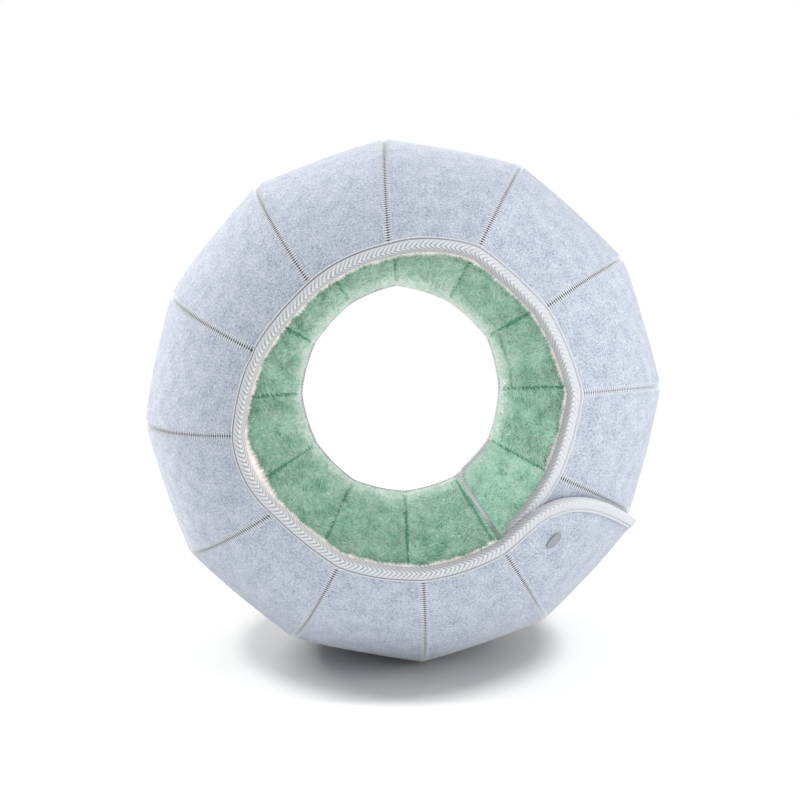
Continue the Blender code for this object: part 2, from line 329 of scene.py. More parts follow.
def pressed_felt():
    """Needle-punched polyester felt: pale and blue-grey fibres blended, matte, softly mottled."""
    surface, add, shader = new_material("needled_polyester_felt")
    places = add("UVMap", {"uv_map": "cut"})
    # The blend is uneven over about 12 mm, with flecks of 1.5 mm.
    cloud = add("TexNoise", FLAT_NOISE, Vector=places, Scale=1 / 0.012, Detail=2.0)
    fleck = add("TexNoise", FLAT_NOISE, Vector=places, Scale=1 / 0.0015, Detail=3.0, Roughness=0.7)
    blend = add("Math", MULTIPLY, i0=cloud, i1=0.4)
    blend = add("Math", MULTIPLY_ADD, i0=fleck, i1=0.9, i2=blend)
    # Fibres 3 mm long and 0.7 mm wide in three directions, coarser than real ones so they show.
    for turn in (15, 75, 135):
        turned = add(
            "Mapping", {"vector_type": "TEXTURE"},
            Vector=places, Rotation=(0, 0, math.radians(turn)), Scale=(0.003, 0.0007, 1),
        )
        fibre = add("TexNoise", FLAT_NOISE, Vector=turned, Scale=1.0, Detail=1.0)
        blend = add("Math", MULTIPLY_ADD, i0=fibre, i1=0.5, i2=blend)
    # The five weights add up to 2.8, so 1.4 is the blend's middle; it moves to the ramp's, 0.5.
    blend = add("Math", SUBTRACT, i0=blend, i1=0.9)
    colour = add("ValToRGB", Fac=blend, stops=[
        (0.08, "#79859f"), (0.33, "#a0aabd"), (0.5, "#b5bdcb"), (0.7, "#c5ccd6"),
        (0.95, "#d9dde5"),
    ])
    split = add("SeparateXYZ", Vector=add("UVMap", {"uv_map": "sewn"}))
    from_seam = split.outputs["X"]
    # Between two stitches the felt is dented, as far from the seam as a stitch reaches: most by
    # the rims, where the sewing pulls hardest, and little round the middle of the ring. The dents
    # get a bump and painted shade.
    pulled = add("Attribute", {"attribute_name": "tone"}).outputs["Fac"]
    turns = add("Math", MULTIPLY, i0=split.outputs["Y"], i1=2 * math.pi / (STITCH_PITCH * MM))
    wave = add("Math", {"operation": "COSINE"}, i0=turns)
    near = add("MapRange", SMOOTH_STEP, i0=from_seam, i1=0.0012, i2=0.0044, i3=1.0, i4=0.0)
    dent = add("MapRange", i0=wave, i1=-1.0, i2=0.4, i3=1.0, i4=0.0)
    dent = add("Math", MULTIPLY, i0=dent, i1=near)
    dent = add("Math", MULTIPLY, i0=dent, i1=pulled)
    shade = add("Math", MULTIPLY_ADD, i0=dent, i1=-0.4, i2=1.0)
    # Down in the gap of the butted seam hardly any light arrives.
    gap_shade = add("MapRange", SMOOTH_STEP, i0=from_seam, i1=0.0004, i2=0.001, i3=-0.95, i4=0.0)
    gap_shade = add("Math", MULTIPLY_ADD, i0=gap_shade, i1=pulled, i2=1.0)
    shade = add("Math", MULTIPLY, i0=shade, i1=gap_shade)
    shaded = add("Mix", TINT, i0=1.0, i6=colour, i7=shade).outputs[2]
    height = add("Math", MULTIPLY_ADD, i0=dent, i1=-0.7, i2=blend)
    bump = add("Bump", Height=height, Strength=0.5, Distance=0.0005)
    feed(
        shader, Base_Color=shaded, Normal=bump, Roughness=0.92,
        Sheen_Weight=0.45, Sheen_Roughness=0.35, Specular_IOR_Level=0.2,
    )
    return surface


felt = pressed_felt()
felt_names = {-1: "flap", FACETS: "under_end"}
felt_names |= {facet: f"facet_{facet + 1:02d}" for facet in range(FACETS)}


def crowd(x, amount):
    """Moves places that are spaced evenly from 0 to 1 closer to both ends."""
    return x - amount * np.sin(2 * math.pi * x) / (2 * math.pi)


felt_pieces = {}
for facet, name in felt_names.items():
    mesh = blank(FACET_COLUMNS, FACET_ROWS)
    at = read_points(mesh)
    pull = pulled_in(np.where(at[:, 0] < 0.5, facet, facet + 1), 2 * at[:, 1] - 1)
    x = crowd(at[:, 0], SEAM_CROWDING)
    share, across = facet_places(facet, x, at[:, 1], SEAM_GAP * pull)
    distance, at_start = from_seams(facet, share, across)
    swell = FELT_SWELL * uneven(facet, share, across) * np.clip(1.15 - abs(across), 0, 1)
    face = felt_dip(distance, pull) - swell
    depth = np.where(at[:, 2] > -0.5, face, np.maximum(face, 0) * 0.3 + FELT)
    points = wall(facet, share, across, depth)
    points[:, 2] = np.maximum(points[:, 2], 0)
    put_points(mesh, points)
    aside = (share - 0.5) * facet_width(facet, across) + CLOTH_APART * facet
    run = seam_run(facet, across)
    put_uv(mesh, "cut", np.stack([aside, run], 1))
    run = np.where(at_start, run, seam_run(facet + 1, across))
    put_uv(mesh, "sewn", np.stack([distance, run], 1))  # the stitches' dents follow this one
    put_tone(mesh, pull)
    piece = new_piece(f"{name}_felt", mesh, felt)
    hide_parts(f"felt_{name}")
    felt_pieces[facet] = piece

# --------------------------------------
# Ladder sewing. Each butted seam is closed by a flat ladder stitch of pale polyester thread,
# whose rungs cross the seam every 2 mm and bite into the felt at both ends.

RUNG_REACH = 4.2  # from the seam to where the thread goes in
THREAD_WIDE, THREAD_HIGH = 0.46, 0.2  # half sizes: two strands lie side by side
RUNG_SIDES, RUNG_CUTS = 4, 7
LADDER_ENDS = np.array([-0.962, 0.962])  # places across where it goes in under the binding


def ladder_thread():
    """Spun polyester sewing thread: fine, slightly glossy, nearly white."""
    surface, _, shader = new_material("spun_polyester_thread")
    feed(shader, Base_Color=linear("#d6dae1"), Roughness=0.6, Sheen_Weight=0.2)
    return surface


def template(builder):
    """Points and triangles of what a builder holds, which is then done with."""
    bmesh.ops.triangulate(builder, faces=builder.faces[:])
    mesh = built(builder, "template")
    faces = np.empty(len(mesh.polygons) * 3, np.int32)
    mesh.polygons.foreach_get("vertices", faces)
    return read_points(mesh), faces.reshape(-1, 3)


def straight_rung():
    """One straight thread along Z from -1 to 1, of unit radius."""
    builder = bmesh.new()
    bmesh.ops.create_cone(
        builder, cap_ends=True, segments=RUNG_SIDES, radius1=1.0, radius2=1.0, depth=2.0
    )
    long_edges = [edge for edge in builder.edges if edge.calc_length() > 1.9]
    bmesh.ops.subdivide_edges(builder, edges=long_edges, cuts=RUNG_CUTS)
    return template(builder)


def repeated(name, points, faces):
    """One mesh from many placed copies: points is copies by points by 3, faces one copy's."""
    copies, each = points.shape[:2]
    all_faces = faces[None] + (np.arange(copies) * each)[:, None, None]
    mesh = bpy.data.meshes.new(name)
    mesh.vertices.add(copies * each)
    mesh.vertices.foreach_set("co", (points * MM).astype(np.float32).ravel())
    mesh.loops.add(all_faces.size)
    mesh.loops.foreach_set("vertex_index", all_faces.astype(np.int32).ravel())
    mesh.polygons.add(all_faces.size // 3)
    mesh.polygons.foreach_set("loop_start", np.arange(0, all_faces.size, 3, dtype=np.int32))
    mesh.update(calc_edges=True)
    return mesh


thread = ladder_thread()
rung, rung_faces = straight_rung()
chance = np.random.default_rng(7)
for number in range(FACETS + 1):
    ends = seam_run(number, LADDER_ENDS)
    count = int((ends[1] - ends[0]) / STITCH_PITCH)
    first = math.ceil(ends[0] / STITCH_PITCH)
    stitches = (first + np.arange(count)) * STITCH_PITCH
    steps = np.linspace(-1, 1, 801)
    run = seam_run(number, steps)
    middle_across = np.interp(stitches, run, steps)
    rate = np.interp(middle_across, steps, np.gradient(run, steps))
    jitter = chance.uniform(-1, 1, (count, 3))
    reach = RUNG_REACH * (1 + 0.07 * jitter[:, :1])
    place = rung[None, :, 2] * reach + 0.12 * jitter[:, 1:2]
    across = middle_across[:, None] + (
        rung[None, :, 0] * THREAD_WIDE + 0.05 * jitter[:, 2:] * rung[None, :, 2]
    ) / rate[:, None]
    distance = abs(place)
    bite = np.clip((distance / reach - 0.8) / 0.2, 0, 1) ** 2
    dip = felt_dip(distance, pulled_in(number, across))
    depth = dip * (1 - 0.35 * bell(distance, 1.2))
    depth = depth - THREAD_HIGH * (0.3 + rung[None, :, 1]) + 0.8 * bite
    points = np.zeros(place.shape + (3,))
    for side in (-1, 0):
        facet = number + side
        width = facet_width(facet, across)
        share = place / width + (1 if side else 0)
        chosen = (place < 0) if side else (place >= 0)
        points[chosen] = wall(facet, share, across, depth)[chosen]
    points[..., 2] = np.maximum(points[..., 2], 0.0)
    mesh = repeated("rungs", points, rung_faces)
    piece = new_piece(f"ladder_sewing_{number + 1:02d}", mesh, thread)

# --------------------------------------
# Plush lining. Behind each felt facet lies one of mint-green polyester plush, knitted backing
# with a short dense pile, sewn into the same seams so that each seam shows inside as a crease.

PLUSH, PLUSH_IN_LAP, PLUSH_UNDER_TAPE = 5.0, 3.0, 2.0
BEHIND_FELT = FELT + GAP + 0.3
PILE_STARTS = 2.2  # the lining's face stands this far short of its pile's tips
TAPE_INSIDE = 3.0  # how far the binding's inner leg reaches, under the pile
CREASE_IN = 14.5  # from the rim to the crease where the binding's seam allowance ends
RIM_CREASES = {8: 0.5, 9: 0.65}  # how deep that crease is in the facets where it shows
TOP_PANELS_PAINTED_PALER = {6: 0.05, 7: 0.09}  # painted light: how much paler the two top panels are painted
# Real pile is far finer; these tufts stand for many fibres each.
TUFT_SPACING, TUFT_LENGTH, TUFT_RADIUS = 2.3, 5.6, 1.15
# A fringe of closer tufts hangs over the binding's inner leg, longer at some facets' back rims.
FRINGE_SPACING = 0.7
FRONT_FRINGE, BACK_FRINGE, FULL_BACK_FRINGE = 6.4, 3.0, 4.6
FULL_AT_BACK = (5, 7, 8)
BARED_FACET, BARED_FRINGE = 3, 4.5  # here the tape has drawn back and shows more of the pile
FRONT_FRINGE_TONE, BACK_FRINGE_TONE = 0.76, 0.6
PALEST = 0.84  # of the pile that does not hang over a rim
LINING_SWELL = 1.7
RIM_CROWDING = 0.6  # how much closer the grid's rows stand at the rims, where the creases are
LINING_COLUMNS, LINING_ROWS = 24, 110


def plush_pile():
    """Brushed polyester plush: soft mint green, deeper between tufts, nearly white at the tips."""
    surface, add, shader = new_material("brushed_polyester_plush")
    places = add("TexCoord").outputs["Object"]
    tone = add("Attribute", {"attribute_name": "tone"}).outputs["Fac"]
    # Clumps of pile 14 mm and 3 mm across.
    clump = add("TexNoise", Vector=places, Scale=1 / 0.014, Detail=3.0, Roughness=0.6)
    fine = add("TexNoise", Vector=places, Scale=1 / 0.003, Detail=2.0)
    mixed = add("Math", MULTIPLY_ADD, i0=clump, i1=0.8, i2=tone)
    mixed = add("Math", MULTIPLY_ADD, i0=fine, i1=0.35, i2=mixed)
    # The two noises add 0.575 on average. It is taken off again, so the tone sets the middle.
    mixed = add("Math", SUBTRACT, i0=mixed, i1=0.575)
    colour = add("ValToRGB", Fac=mixed, stops=[
        (0.0, "#60927b"), (0.2, "#95bcaa"), (0.42, "#b6d2c5"),
        (0.65, "#ccded6"), (0.85, "#e9ebe8"), (1.0, "#f6ebe8"),
    ])
    bump = add("Bump", Height=fine, Strength=0.6, Distance=0.0012)
    feed(
        shader, Base_Color=colour, Normal=bump, Roughness=0.9,
        Sheen_Weight=0.4, Sheen_Roughness=0.5, Specular_IOR_Level=0.15,
    )
    return surface


def rim_distance(facet, across):
    """Distance in from the nearer rim, along the wall."""
    return (1 - abs(across)) * (facet_length(facet) / 2)


def rim_glow(facet, across):
    """How much paler the pile is towards a rim, where it stands up and light passes its tips."""
    reach = np.where(across < 0, 10.0, 13.0)
    return 0.45 * bell(rim_distance(facet, across), reach)


def lining_creases(facet, share, across):
    """1 down in a seam, less along the crease beside each rim, and 0 a few millimetres away."""
    distance, _ = from_seams(facet, share, across)
    from_crease = rim_distance(facet, across) - CREASE_IN + 1.2 * np.sin(9 * share + 2 * facet)
    beside_rim = RIM_CREASES.get(facet, 0.12) * bell(from_crease, 1.5)
    return np.maximum(bell(distance, 1.6), beside_rim)


def lining_thickness(facet, share, across):
    """Backing and pile together: thinner in the lap, in the creases and under the binding."""
    into_lap = np.clip(4 * np.maximum(0.25 - (facet + share), facet + share - FACETS + 0.25), 0, 1)
    thick = PLUSH + (PLUSH_IN_LAP - PLUSH) * into_lap
    from_rim = rim_distance(facet, across)
    swell = LINING_SWELL * uneven(facet + 20, share, across)
    swell = swell + 0.9 * bell(from_rim - CREASE_IN / 2, 3.5)
    thick = thick + swell * (1 - into_lap)
    thick = thick - (thick - 1.6) * lining_creases(facet, share, across)
    to_rim = np.clip((from_rim - TAPE_INSIDE - 0.3) / 0.7, 0, 1)
    return PLUSH_UNDER_TAPE + (thick - PLUSH_UNDER_TAPE) * to_rim


def unit(vectors):
    return vectors / np.linalg.norm(vectors, axis=-1, keepdims=True)


def wall_frame(facet, share, across, depth):
    """Places on the wall, and unit vectors there: along the facet, across it, into the den."""
    small = 1e-3
    here = wall(facet, share, across, depth)
    along = unit(wall(facet, share + small, across, depth) - here)
    aside = wall(facet, share, across + small, depth) - here
    inward = unit(np.cross(along, aside))
    toward = wall(facet, share, across, depth + 1) - here
    inward *= np.sign((inward * toward).sum(-1, keepdims=True))
    square = np.cross(inward, along)
    square *= np.sign((square * aside).sum(-1, keepdims=True))
    return here, along, square, inward


def spike():
    """One tuft of pile as a three-sided spike from z = 0 to 1, without its hidden base."""
    builder = bmesh.new()
    bmesh.ops.create_cone(builder, cap_ends=False, segments=3, radius1=1.0, radius2=0.0, depth=1.0)
    bmesh.ops.remove_doubles(builder, verts=builder.verts[:], dist=1e-4)
    bmesh.ops.translate(builder, verts=builder.verts[:], vec=(0, 0, 0.5))
    return template(builder)


plush = plush_pile()
tuft, tuft_faces = spike()
lining_pieces, pile_pieces, rim_pieces = {}, [], []
for facet, name in felt_names.items():
    mesh = blank(LINING_COLUMNS, LINING_ROWS)
    at = read_points(mesh)
    x, y = crowd(at[:, 0], SEAM_CROWDING), crowd(at[:, 1], RIM_CROWDING)
    share, across = facet_places(facet, x, y, -0.0005)
    thick = lining_thickness(facet, share, across)
    inner = BEHIND_FELT + np.maximum(thick - PILE_STARTS, 0.8)
    put_points(mesh, wall(facet, share, across, np.where(at[:, 2] > -0.5, BEHIND_FELT, inner)))
    # Painted light and shade in the lining's tone: shade down the creases, the top panels paler,
    # and a glow towards the rims.
    painted_paler = TOP_PANELS_PAINTED_PALER.get(facet, 0.0)
    shade = 0.25 + painted_paler - 0.47 * lining_creases(facet, share, across)
    put_tone(mesh, shade + rim_glow(facet, across))
    piece = new_piece(f"{name}_lining", mesh, plush)
    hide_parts(f"lining_{name}")
    lining_pieces[facet] = piece

    width, length = facet_width(facet, 0.0), facet_length(facet)
    columns, rows = int(width / TUFT_SPACING), int(length / TUFT_SPACING)
    x, y = np.meshgrid(np.arange(columns) + 0.5, np.arange(rows) + 0.5, indexing="ij")
    x = ((x + chance.uniform(-0.5, 0.5, x.shape)) / columns).ravel()
    y = ((y + chance.uniform(-0.5, 0.5, y.shape)) / rows).ravel()
    # A facet is narrow near its rims, so some of the tufts are left out there.
    kept = chance.uniform(0, 1, x.size) < facet_width(facet, 2 * y - 1) / width * 1.1
    share, across = facet_places(facet, x[kept], y[kept], SEAM_GAP)
    clear = rim_distance(facet, across) > TAPE_INSIDE + 0.3
    share, across = share[clear], across[clear]
    if 0 <= facet < FACETS:
        rim_width = facet_width(facet, 1.0)
        fringe = np.arange(0, rim_width, FRINGE_SPACING) / rim_width
        fringe_in = 1 - (TAPE_INSIDE + chance.uniform(0.4, 1.3, 2 * fringe.size)) * 2 / length
        share = np.concatenate([share, fringe, fringe])
        across = np.concatenate([across, fringe_in * np.repeat([-1, 1], fringe.size)])
    in_fringe = np.arange(share.size) >= clear.sum()
    from_rim = rim_distance(facet, across)
    thick = lining_thickness(facet, share, across)
    root = BEHIND_FELT + np.maximum(thick - PILE_STARTS, 0.8) - 0.2
    root = np.where(from_rim < 6, np.maximum(root, FELT + GAP + PLUSH_UNDER_TAPE + 0.9), root)
    here, along, aside, inward = wall_frame(facet, share, across, root)
    count = len(here)
    # The pile lies in brushed swirls, and leans out over the binding at the rims.
    nap = 2.4 * np.sin(5 * share + 4 * across + facet) + 1.5 * np.sin(9 * across + 2 * facet)
    lean_to = nap + chance.normal(0, 0.4, count)
    lean = chance.uniform(0.5, 1.15, count)
    creased = lining_creases(facet, share, across)
    long = TUFT_LENGTH * chance.uniform(0.65, 1.15, count) * (1 - 0.75 * creased)
    at_rim = np.clip((7.5 - from_rim) / 3, 0, 1)
    long = long * (1 - 0.35 * at_rim)
    back_long = FULL_BACK_FRINGE if facet in FULL_AT_BACK else BACK_FRINGE
    fringe_long = np.where(across < 0, FRONT_FRINGE, back_long) + chance.normal(0, 0.4, count)
    fringe_long += 0.5 * np.sin(11 * share + 5 * facet) + 0.4 * np.sin(26 * share + 3 * facet)
    if facet == BARED_FACET:
        fringe_long += np.where(across < 0, BARED_FRINGE * np.sin(math.pi * share), 0)
    long = np.where(in_fringe, fringe_long, long)
    lean = lean + (1.2 - lean) * at_rim
    straight_out = np.sign(across) * math.pi / 2
    over_rim = straight_out + chance.normal(0, 0.4, count)
    lean_to = np.where(at_rim > 0.2, over_rim, lean_to)
    lean = np.where(in_fringe & (across < 0), 1.4, lean)
    lean_to = np.where(in_fringe, straight_out + 0.3 * (lean_to - over_rim), lean_to)
    if facet < 0 or facet >= FACETS:
        long = long * 0.4
    axis = inward * np.cos(lean)[:, None] + np.sin(lean)[:, None] * (
        along * np.cos(lean_to)[:, None] + aside * np.sin(lean_to)[:, None]
    )
    turn = chance.uniform(0, 2 * math.pi, count)
    side = along * np.cos(turn)[:, None] + aside * np.sin(turn)[:, None]
    other = np.cross(inward, side)
    radius = TUFT_RADIUS * chance.uniform(0.75, 1.2, count) * np.where(in_fringe, 0.95, 1)
    points = (
        here[:, None]
        + side[:, None] * (tuft[None, :, :1] * radius[:, None, None])
        + other[:, None] * (tuft[None, :, 1:2] * radius[:, None, None])
        + axis[:, None] * (tuft[None, :, 2:] * long[:, None, None])
    )
    # Painted light and shade in the pile's tone: shade down the creases, the top panels paler, a
    # glow towards the rims and light on the lining's swells; the rest differs at random.
    pale = 0.24 + painted_paler - 0.37 * creased + rim_glow(facet, across)
    pale = pale + chance.normal(0, 0.07, count) + 0.1 * uneven(facet + 20, share, across)
    over_tape = in_fringe & (across < 0)
    fringe_tone = np.where(over_tape, FRONT_FRINGE_TONE, BACK_FRINGE_TONE)
    pale = np.where(in_fringe, fringe_tone, pale)
    tone = 0.34 * tuft[None, :, 2] + pale[:, None]
    tone = np.where(in_fringe[:, None], tone, np.minimum(tone, PALEST))
    piles = []
    for part, chosen in (("pile", ~over_tape), ("rim_pile", over_tape)):
        if chosen.any():
            mesh = repeated(part, points[chosen], tuft_faces)
            put_tone(mesh, tone[chosen].ravel())
            piles.append(new_piece(f"{name}_{part}", mesh, plush))
    pile_pieces.append(piles[0])
    rim_pieces += piles[1:]

for facet, piece in felt_pieces.items():
    width, length = facet_width(facet, 0.0) * MM, facet_length(facet) * MM

# --------------------------------------
# Binding. One pale grey herringbone twill tape, 21 mm wide, folded round the strip's whole raw
# edge and sewn down near its outer selvedge: front rim, flap, back rim and under end.

TAPE = 0.8
TAPE_GAP = 0.45
TAPE_OUTSIDE = 8.0
BOUND_EDGE = FELT + GAP + PLUSH_UNDER_TAPE
PATH_STEP = 1.6
TOPSTITCH_IN = 0.9  # from the tape's outer selvedge
GROOVE_IN = 2.3  # to the furrow that the topstitch pulls beside it
TOPSTITCH_PITCH = 2.2
PINCHED_AT = 2.78  # radians round the ring from its right side, at a seam
COLUMN = (2.3, 9.0)  # where the first column of twill starts and ends, from that selvedge
LEFT_COLUMN_GROWS = 2.0  # how much later it ends on the ring's left part
SECOND_COLUMN = 6.0  # its width
TWILL_PITCH = 3.5  # real twill is finer; this one is drawn coarser so that it shows


def bound_path():
    """Points in order round the strip's edge: their facets, shares and places across."""
    runs = []

    def end_run(facet, end, backwards):
        count = 160
        x = np.concatenate([np.linspace(0, 1, 40)[:-1], np.ones(count), np.linspace(1, 0, 40)[1:]])
        y = np.concatenate([np.full(39, -1.0), np.linspace(-1, 1, count), np.full(39, 1.0)])
        outward, across = rounded_end(x, y, end)
        share = 1 - outward if facet < 0 else outward
        step = slice(None, None, -1) if backwards else slice(None)
        runs.append((facet, share[step], across[step]))

    plain = np.linspace(0, 1, 36)
    end_run(-1, FLAP_END, backwards=False)
    for facet in range(FACETS):
        runs.append((facet, plain, np.ones_like(plain)))
    end_run(FACETS, UNDER_END, backwards=True)
    for facet in range(FACETS - 1, -1, -1):
        runs.append((facet, plain[::-1], -np.ones_like(plain)))
    facets, shares, places = zip(*runs)
    facets = np.repeat(facets, [len(share) for share in shares])
    return facets, np.concatenate(shares), np.concatenate(places)


def smooth_along(values, reach):
    """A closed run of values, each the mean of its neighbours within reach."""
    total = sum(np.roll(values, step, 0) for step in range(-reach, reach + 1))
    return total / (2 * reach + 1)


class BoundEdge:
    """The strip's edge at even steps, with the way into the panel at each step."""

    def __init__(self):
        facets, shares, places = bound_path()
        edge = self.on_wall(facets, shares, places, 0.0)
        moved = np.linalg.norm(np.roll(edge, -1, 0) - edge, axis=1)
        kept = np.concatenate([[True], moved[:-1] > 0.15])
        facets, shares, places, edge = facets[kept], shares[kept], places[kept], edge[kept]
        run = run_of(edge)
        self.length = run[-1] + np.linalg.norm(edge[0] - edge[-1])
        at = np.arange(int(self.length / PATH_STEP)) * PATH_STEP
        nearest = np.clip(np.searchsorted(run, at) - 1, 0, len(run) - 2)
        part = (at - run[nearest]) / (run[nearest + 1] - run[nearest])
        same = facets[nearest] == facets[nearest + 1]
        part = np.where(same, part, np.round(part))
        chosen = np.where(same | (part < 0.5), nearest, nearest + 1)

        def at_steps(values):
            between = values[nearest] + part * (values[nearest + 1] - values[nearest])
            return np.where(same, between, values[chosen])

        self.facets = facets[chosen]
        self.shares, self.places = at_steps(shares), at_steps(places)
        self.run = at
        small = 1e-3
        here = self.beside(0.0, 0.0, 0.0)
        d_share = (self.beside(small, 0.0, 0.0) - here) / small
        d_place = (self.beside(0.0, small, 0.0) - here) / small
        below = self.beside(0.0, 0.0, 1.0) - here
        forward = smooth_along(np.roll(here, -2, 0) - np.roll(here, 2, 0), 2)
        inward = unit(np.cross(below, forward))
        # Least squares for the change of place that moves 1 mm inward on the wall's face.
        aa, ab, bb = (d_share**2).sum(1), (d_share * d_place).sum(1), (d_place**2).sum(1)
        ia, ib = (inward * d_share).sum(1), (inward * d_place).sum(1)
        det = aa * bb - ab * ab
        self.share_rate = (ia * bb - ib * ab) / det
        self.place_rate = (ib * aa - ia * ab) / det

    @staticmethod
    def on_wall(facets, shares, places, depth):
        out = np.empty((len(facets), 3))
        depth = np.broadcast_to(depth, facets.shape)
        for facet in np.unique(facets):
            rows = facets == facet
            out[rows] = wall(int(facet), shares[rows], places[rows], depth[rows])
        return out

    def beside(self, share, place, depth):
        return self.on_wall(self.facets, self.shares + share, self.places + place, depth)

    def at(self, inward, depth):
        """Points at a distance inward from the edge and a depth from the felt's face."""
        return self.beside(inward * self.share_rate, inward * self.place_rate, depth)


def herringbone_tape():
    """Cotton herringbone twill tape: pale grey yarn whose two-way diagonals shade each other."""
    surface, add, shader = new_material("cotton_herringbone_tape")
    places = add("UVMap", {"uv_map": "tape"})
    drawn = add("Attribute", {"attribute_name": "tone"}).outputs["Fac"]
    split = add("SeparateXYZ", Vector=places)
    along, aside = split.outputs["X"], split.outputs["Y"]
    # The first column's ribs leave the furrow nearly along the tape and curve in to the fold,
    # and the second column's lean back the other way. Where the two meet differs round the ring.
    column_end = add("Attribute", {"attribute_name": "column"}).outputs["Fac"]
    past = add("Math", SUBTRACT, i0=aside, i1=column_end)
    first = add("MapRange", i0=aside, i1=COLUMN[0] * MM, i2=column_end)
    curved = add("Math", {"operation": "POWER"}, i0=first, i1=0.6)
    second = add("MapRange", i0=past, i1=0.0, i2=SECOND_COLUMN * MM, i4=0.9)
    leaned = add("Math", SUBTRACT, i0=second, i1=curved)
    slanted = add("Math", MULTIPLY_ADD, i0=leaned, i1=0.0085, i2=along)
    wander = add("TexNoise", FLAT_NOISE, Vector=places, Scale=1 / 0.009)
    slanted = add("Math", MULTIPLY_ADD, i0=wander, i1=0.0022, i2=slanted)
    turns = add("Math", MULTIPLY, i0=slanted, i1=2 * math.pi / (TWILL_PITCH * MM))
    rib = add("Math", {"operation": "SINE"}, i0=turns)
    # The diagonals show best in the middle of a column, and not at all on the selvedge.
    starts = add("MapRange", SMOOTH_STEP, i0=first, i1=0.15, i2=0.75, i3=0.08, i4=0.4)
    fades = add("MapRange", SMOOTH_STEP, i0=past, i1=0.001, i2=0.004, i3=1.0, i4=0.5)
    body = add("Math", MULTIPLY, i0=starts, i1=fades)
    body = add("Math", MULTIPLY, i0=body, i1=drawn)
    rib = add("Math", MULTIPLY, i0=rib, i1=body)
    # Real yarn is about 0.3 mm thick; its grain is drawn at 1.2 mm so that it shows.
    grain = add("TexNoise", FLAT_NOISE, Vector=places, Scale=1 / 0.0012, Detail=1.0)
    cover = add("Math", MULTIPLY_ADD, i0=grain, i1=0.4, i2=rib)
    cover = add("Math", {"operation": "ADD"}, i0=cover, i1=0.42)
    colour = add("ValToRGB", Fac=cover, stops=[
        (0.12, "#8c9298"), (0.4, "#b6babf"), (0.6, "#cdd0d5"), (1.0, "#dcdfe2"),
    ])
    # Over the fold the tape looks a little warmer, and down in the topstitch's furrow it is darker
    # with painted shade.
    folded = add("MapRange", SMOOTH_STEP, i0=aside, i1=0.0098, i2=0.0122)
    folded = add("Math", MULTIPLY, i0=folded, i1=drawn)
    tinted = add("Mix", TINT, i0=folded, i6=colour, i7=linear("#f7f0f0")).outputs[2]
    groove = add("Math", SUBTRACT, i0=aside, i1=GROOVE_IN * MM)
    groove = add("Math", {"operation": "ABSOLUTE"}, i0=groove)
    # The furrow's painted shade is strongest at the upper left and weakest to the right, where the
    # light falls.
    tight = add("Attribute", {"attribute_name": "tight"}).outputs["Fac"]
    bottom = add("Math", MULTIPLY_ADD, i0=tight, i1=-0.45, i2=1.0)
    shade = add("MapRange", SMOOTH_STEP, i0=groove, i1=0.0002, i2=0.0007, i3=bottom, i4=1.0)
    shaded = add("Mix", TINT, i0=1.0, i6=tinted, i7=shade).outputs[2]
    bump = add("Bump", Height=cover, Strength=0.6, Distance=0.0004)
    feed(
        shader, Base_Color=shaded, Normal=bump, Roughness=0.85,
        Sheen_Weight=0.15, Specular_IOR_Level=0.2,
    )
    return surface


edge = BoundEdge()
near, far = TAPE_GAP, TAPE_GAP + TAPE
# The tape's section as (distance in from the edge, depth), from its outer selvedge round the
# fold to its inner one, and back along the side that touches the cloth.
stitched, furrow = TAPE_OUTSIDE - TOPSTITCH_IN, TAPE_OUTSIDE - GROOVE_IN
outer_side = [(TAPE_OUTSIDE, -near), (TAPE_OUTSIDE - 0.05, -far * 0.72)]
outer_side += [(TAPE_OUTSIDE - 0.4, -far * 0.93), (stitched - 0.6, -far * 0.93)]
outer_side += [(furrow, -near - 0.08), (furrow - 0.5, -far * 0.92)]
outer_side += [(x, -far - 0.12 * math.sin(math.pi * x / 6)) for x in (5.2, 4.2, 3.2, 2.2, 1.2)]
middle_depth, half = BOUND_EDGE / 2, BOUND_EDGE / 2 + far
fold = [
    (-far * 0.2 - 1.25 * math.sin(turn), middle_depth - half * math.cos(turn))
    for turn in np.radians(np.arange(0, 181, 20))
]
inner_side = [(x, BOUND_EDGE + far) for x in (0.8, 2.4)]
inner_side += [(TAPE_INSIDE, BOUND_EDGE + far * 0.8)]
under_side = [(x, BOUND_EDGE + near) for x in (TAPE_INSIDE, 1.5, -0.1)]
under_side += [(-0.45, middle_depth), (-0.1, -near), (4.0, -near)]
section = outer_side + fold + inner_side + under_side
# The tape wanders: it was guided by hand, wider on the outside to the right, and pinched once.
fold_line = edge.at(0.0, 0.0)
turn = np.arctan2(fold_line[:, 2] - CENTRE_HEIGHT, fold_line[:, 0])
wide = 0.98 + 0.13 * np.cos(turn) + 0.03 * np.sin(7 * turn + 2) + 0.02 * np.sin(13 * turn)
wide -= 0.2 * bell(turn - PINCHED_AT, 0.05)
rings = [edge.at(x * wide if x > 1 and depth < 0 else x, depth) for x, depth in section]
rings = np.stack([smooth_along(ring, 1) for ring in rings], 1)
counts = len(edge.run), len(section)
builder = bmesh.new()
bmesh.ops.create_grid(builder, x_segments=counts[0], y_segments=counts[1], size=0.5)
tape_mesh = built(builder, "tape")
at_ring, at_section = np.round((read_points(tape_mesh)[:, :2] + 0.5) * counts).astype(int).T
at_step = at_ring % counts[0]
put_points(tape_mesh, rings[at_step, at_section % counts[1]])
width_run = run_of(section + section[:1])
put_uv(tape_mesh, "tape", np.stack([at_ring * PATH_STEP, width_run[at_section]], 1))
